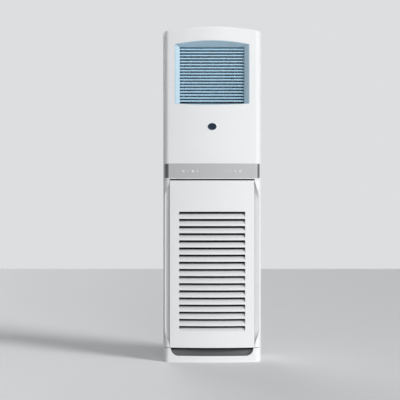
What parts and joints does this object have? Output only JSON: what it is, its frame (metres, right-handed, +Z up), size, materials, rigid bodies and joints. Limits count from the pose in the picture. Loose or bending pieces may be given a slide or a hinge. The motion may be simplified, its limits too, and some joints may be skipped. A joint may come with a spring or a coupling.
{
  "type": "floor standing air conditioner",
  "caption": "Tall white cabinet air conditioner: vaned outlet at the top, silver control band, hinged louvred intake panel below, blower, coil and controls inside.",
  "frame": {"origin": "on the floor, at the middle of the cabinet's plan", "axes": "+Z up, the front faces -Y, +X to the right seen from the front"},
  "size_m": [0.51, 0.315, 1.75],
  "materials": {
    "shell": "white, softly glossy moulding",
    "casing": "white powder coat",
    "vane": "pale cool blue-grey, satin",
    "badge": "dark navy, polished",
    "silver": "silver metallic paint",
    "board": "green laminate",
    "filter": "dark net",
    "duct": "dark grey moulding",
    "dark_plastic": "near-black moulding",
    "zinc": "galvanised sheet",
    "motor": "black paint",
    "shaft": "ground steel",
    "fins": "bare fins",
    "copper": "drawn copper",
    "drain": "off-white plastic",
    "terminal": "cream moulding",
    "base": "dark grey paint"
  },
  "bodies": {
    "cabinet": {"base_trim": "shell", "top_cover": "shell", "upper_front_panel": "shell", "side_trim_left": "shell", "side_trim_right": "shell", "side_panel_left": "casing", "side_panel_right": "casing", "back_panel": "casing", "outlet_bezel": "vane", "badge_cap": "badge", "control_band": "silver", "display_board": "board", "main_board": "board", "outlet_duct": "duct", "inlet_ring": "dark_plastic", "wall_bracket": "zinc", "swing_motor": "zinc", "fan_housing": "zinc", "motor_bracket": "zinc", "deck_plate": "zinc", "control_box": "zinc", "control_box_lid": "zinc", "fan_motor": "motor", "evaporator_fins": "fins", "evaporator_tubes": "copper", "gas_pipe": "copper", "liquid_pipe": "copper", "drain_pan": "drain", "drain_hose": "drain", "terminal_block": "terminal", "base_pan": "base"},
    "vane_01": {"vane_01": "vane"},
    "vane_02": {"vane_02": "vane"},
    "vane_03": {"vane_03": "vane"},
    "vane_04": {"vane_04": "vane"},
    "vane_05": {"vane_05": "vane"},
    "vane_06": {"vane_06": "vane"},
    "vane_07": {"vane_07": "vane"},
    "vane_08": {"vane_08": "vane"},
    "vane_09": {"vane_09": "vane"},
    "vane_10": {"vane_10": "vane"},
    "vane_11": {"vane_11": "vane"},
    "vane_12": {"vane_12": "vane"},
    "vane_13": {"vane_13": "vane"},
    "vane_14": {"vane_14": "vane"},
    "vane_15": {"vane_15": "vane"},
    "vane_16": {"vane_16": "vane"},
    "vane_17": {"vane_17": "vane"},
    "vane_18": {"vane_18": "vane"},
    "vane_bar": {"vane_link": "dark_plastic"},
    "deflector_1": {"deflector_1": "dark_plastic"},
    "deflector_2": {"deflector_2": "dark_plastic"},
    "deflector_3": {"deflector_3": "dark_plastic"},
    "deflector_4": {"deflector_4": "dark_plastic"},
    "deflector_5": {"deflector_5": "dark_plastic"},
    "deflector_bar": {"deflector_link": "dark_plastic"},
    "blower": {"blower_wheel": "dark_plastic", "motor_shaft": "shaft"},
    "front_door": {"intake_panel": "shell", "air_filter": "filter"}
  },
  "joints": [
    {"name": "vane_01_tilt", "type": "hinge", "parent": "cabinet", "child": "vane_01", "pos_m": [0, -0.116, 1.63], "axis": [1, 0, 0], "range_deg": [-58, 2]},
    {"name": "vane_02_tilt", "type": "hinge", "parent": "cabinet", "child": "vane_02", "pos_m": [0, -0.116, 1.6142], "axis": [1, 0, 0], "range_deg": [-58, 2]},
    {"name": "vane_03_tilt", "type": "hinge", "parent": "cabinet", "child": "vane_03", "pos_m": [0, -0.116, 1.5984], "axis": [1, 0, 0], "range_deg": [-58, 2]},
    {"name": "vane_04_tilt", "type": "hinge", "parent": "cabinet", "child": "vane_04", "pos_m": [0, -0.116, 1.5826], "axis": [1, 0, 0], "range_deg": [-58, 2]},
    {"name": "vane_05_tilt", "type": "hinge", "parent": "cabinet", "child": "vane_05", "pos_m": [0, -0.116, 1.5668], "axis": [1, 0, 0], "range_deg": [-58, 2]},
    {"name": "vane_06_tilt", "type": "hinge", "parent": "cabinet", "child": "vane_06", "pos_m": [0, -0.116, 1.551], "axis": [1, 0, 0], "range_deg": [-58, 2]},
    {"name": "vane_07_tilt", "type": "hinge", "parent": "cabinet", "child": "vane_07", "pos_m": [0, -0.116, 1.5352], "axis": [1, 0, 0], "range_deg": [-58, 2]},
    {"name": "vane_08_tilt", "type": "hinge", "parent": "cabinet", "child": "vane_08", "pos_m": [0, -0.116, 1.5194], "axis": [1, 0, 0], "range_deg": [-58, 2]},
    {"name": "vane_09_tilt", "type": "hinge", "parent": "cabinet", "child": "vane_09", "pos_m": [0, -0.116, 1.5036], "axis": [1, 0, 0], "range_deg": [-58, 2]},
    {"name": "vane_10_tilt", "type": "hinge", "parent": "cabinet", "child": "vane_10", "pos_m": [0, -0.116, 1.4878], "axis": [1, 0, 0], "range_deg": [-58, 2]},
    {"name": "vane_11_tilt", "type": "hinge", "parent": "cabinet", "child": "vane_11", "pos_m": [0, -0.116, 1.472], "axis": [1, 0, 0], "range_deg": [-58, 2]},
    {"name": "vane_12_tilt", "type": "hinge", "parent": "cabinet", "child": "vane_12", "pos_m": [0, -0.116, 1.4562], "axis": [1, 0, 0], "range_deg": [-58, 2]},
    {"name": "vane_13_tilt", "type": "hinge", "parent": "cabinet", "child": "vane_13", "pos_m": [0, -0.116, 1.4404], "axis": [1, 0, 0], "range_deg": [-58, 2]},
    {"name": "vane_14_tilt", "type": "hinge", "parent": "cabinet", "child": "vane_14", "pos_m": [0, -0.116, 1.4246], "axis": [1, 0, 0], "range_deg": [-58, 2]},
    {"name": "vane_15_tilt", "type": "hinge", "parent": "cabinet", "child": "vane_15", "pos_m": [0, -0.116, 1.4088], "axis": [1, 0, 0], "range_deg": [-58, 2]},
    {"name": "vane_16_tilt", "type": "hinge", "parent": "cabinet", "child": "vane_16", "pos_m": [0, -0.116, 1.393], "axis": [1, 0, 0], "range_deg": [-58, 2]},
    {"name": "vane_17_tilt", "type": "hinge", "parent": "cabinet", "child": "vane_17", "pos_m": [0, -0.116, 1.3772], "axis": [1, 0, 0], "range_deg": [-58, 2]},
    {"name": "vane_18_tilt", "type": "hinge", "parent": "cabinet", "child": "vane_18", "pos_m": [0, -0.116, 1.3614], "axis": [1, 0, 0], "range_deg": [-58, 2]},
    {"name": "vane_bar_pin", "type": "hinge", "parent": "vane_01", "child": "vane_bar", "pos_m": [-0.1513, -0.10187, 1.63751], "axis": [1, 0, 0], "range_deg": [-2, 58]},
    {"name": "deflector_3_turn", "type": "hinge", "parent": "cabinet", "child": "deflector_3", "pos_m": [0, -0.055, 1.4935], "axis": [0, 0, 1], "range_deg": [-40, 40]},
    {"name": "deflector_1_turn", "type": "hinge", "parent": "cabinet", "child": "deflector_1", "pos_m": [-0.12, -0.055, 1.4935], "axis": [0, 0, 1], "range_deg": [-40, 40]},
    {"name": "deflector_2_turn", "type": "hinge", "parent": "cabinet", "child": "deflector_2", "pos_m": [-0.06, -0.055, 1.4935], "axis": [0, 0, 1], "range_deg": [-40, 40]},
    {"name": "deflector_4_turn", "type": "hinge", "parent": "cabinet", "child": "deflector_4", "pos_m": [0.06, -0.055, 1.4935], "axis": [0, 0, 1], "range_deg": [-40, 40]},
    {"name": "deflector_5_turn", "type": "hinge", "parent": "cabinet", "child": "deflector_5", "pos_m": [0.12, -0.055, 1.4935], "axis": [0, 0, 1], "range_deg": [-40, 40]},
    {"name": "deflector_bar_pin", "type": "hinge", "parent": "deflector_3", "child": "deflector_bar", "pos_m": [0, -0.033, 1.6343], "axis": [0, 0, 1], "range_deg": [-40, 40]},
    {"name": "blower_spin", "type": "hinge", "parent": "cabinet", "child": "blower", "pos_m": [0, 0, 0.42], "axis": [0, -1, 0], "continuous": true},
    {"name": "front_door_open", "type": "hinge", "parent": "cabinet", "child": "front_door", "pos_m": [0, -0.138, 0.9365], "axis": [-1, 0, 0], "range_deg": [0, 20]}
  ],
  "couplings": [
    {"joint": "vane_02_tilt", "follows": "vane_01_tilt", "ratio": 1},
    {"joint": "vane_03_tilt", "follows": "vane_01_tilt", "ratio": 1},
    {"joint": "vane_04_tilt", "follows": "vane_01_tilt", "ratio": 1},
    {"joint": "vane_05_tilt", "follows": "vane_01_tilt", "ratio": 1},
    {"joint": "vane_06_tilt", "follows": "vane_01_tilt", "ratio": 1},
    {"joint": "vane_07_tilt", "follows": "vane_01_tilt", "ratio": 1},
    {"joint": "vane_08_tilt", "follows": "vane_01_tilt", "ratio": 1},
    {"joint": "vane_09_tilt", "follows": "vane_01_tilt", "ratio": 1},
    {"joint": "vane_10_tilt", "follows": "vane_01_tilt", "ratio": 1},
    {"joint": "vane_11_tilt", "follows": "vane_01_tilt", "ratio": 1},
    {"joint": "vane_12_tilt", "follows": "vane_01_tilt", "ratio": 1},
    {"joint": "vane_13_tilt", "follows": "vane_01_tilt", "ratio": 1},
    {"joint": "vane_14_tilt", "follows": "vane_01_tilt", "ratio": 1},
    {"joint": "vane_15_tilt", "follows": "vane_01_tilt", "ratio": 1},
    {"joint": "vane_16_tilt", "follows": "vane_01_tilt", "ratio": 1},
    {"joint": "vane_17_tilt", "follows": "vane_01_tilt", "ratio": 1},
    {"joint": "vane_18_tilt", "follows": "vane_01_tilt", "ratio": 1},
    {"joint": "vane_bar_pin", "follows": "vane_01_tilt", "ratio": -1},
    {"joint": "deflector_1_turn", "follows": "deflector_3_turn", "ratio": 1},
    {"joint": "deflector_2_turn", "follows": "deflector_3_turn", "ratio": 1},
    {"joint": "deflector_4_turn", "follows": "deflector_3_turn", "ratio": 1},
    {"joint": "deflector_5_turn", "follows": "deflector_3_turn", "ratio": 1},
    {"joint": "deflector_bar_pin", "follows": "deflector_3_turn", "ratio": -1}
  ]
}
